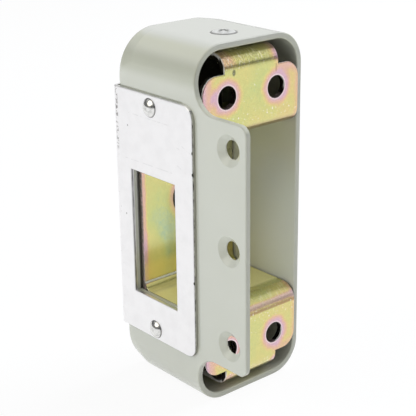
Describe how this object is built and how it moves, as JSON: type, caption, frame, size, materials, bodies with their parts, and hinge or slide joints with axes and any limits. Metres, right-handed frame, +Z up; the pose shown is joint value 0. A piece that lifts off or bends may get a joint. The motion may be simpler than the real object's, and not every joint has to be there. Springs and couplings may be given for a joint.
{
  "type": "door strike plate",
  "caption": "Box strike for a door lock: flanged sheet-steel box with a bolt window under a riveted wear plate and a folded fixing bracket in its open end.",
  "frame": {"origin": "centre of the box's flat bottom, midway across its depth and its width", "axes": "+X out of the open end, where the feet face; -Y out of the bolt-side face that runs on as the flange; +Z up along the height"},
  "size_m": [0.0576, 0.0439, 0.1107],
  "materials": {
    "housing_paint": "satin",
    "bracket_zinc": "satin",
    "plate_steel": "satin",
    "rivet_steel": "polished",
    "screw_steel": "polished"
  },
  "bodies": {
    "root": {"housing": "housing_paint", "bracket": "bracket_zinc", "wear_plate": "plate_steel", "top_rivet": "rivet_steel", "bottom_rivet": "rivet_steel", "top_screw": "screw_steel", "bottom_screw": "screw_steel"}
  },
  "joints": []
}
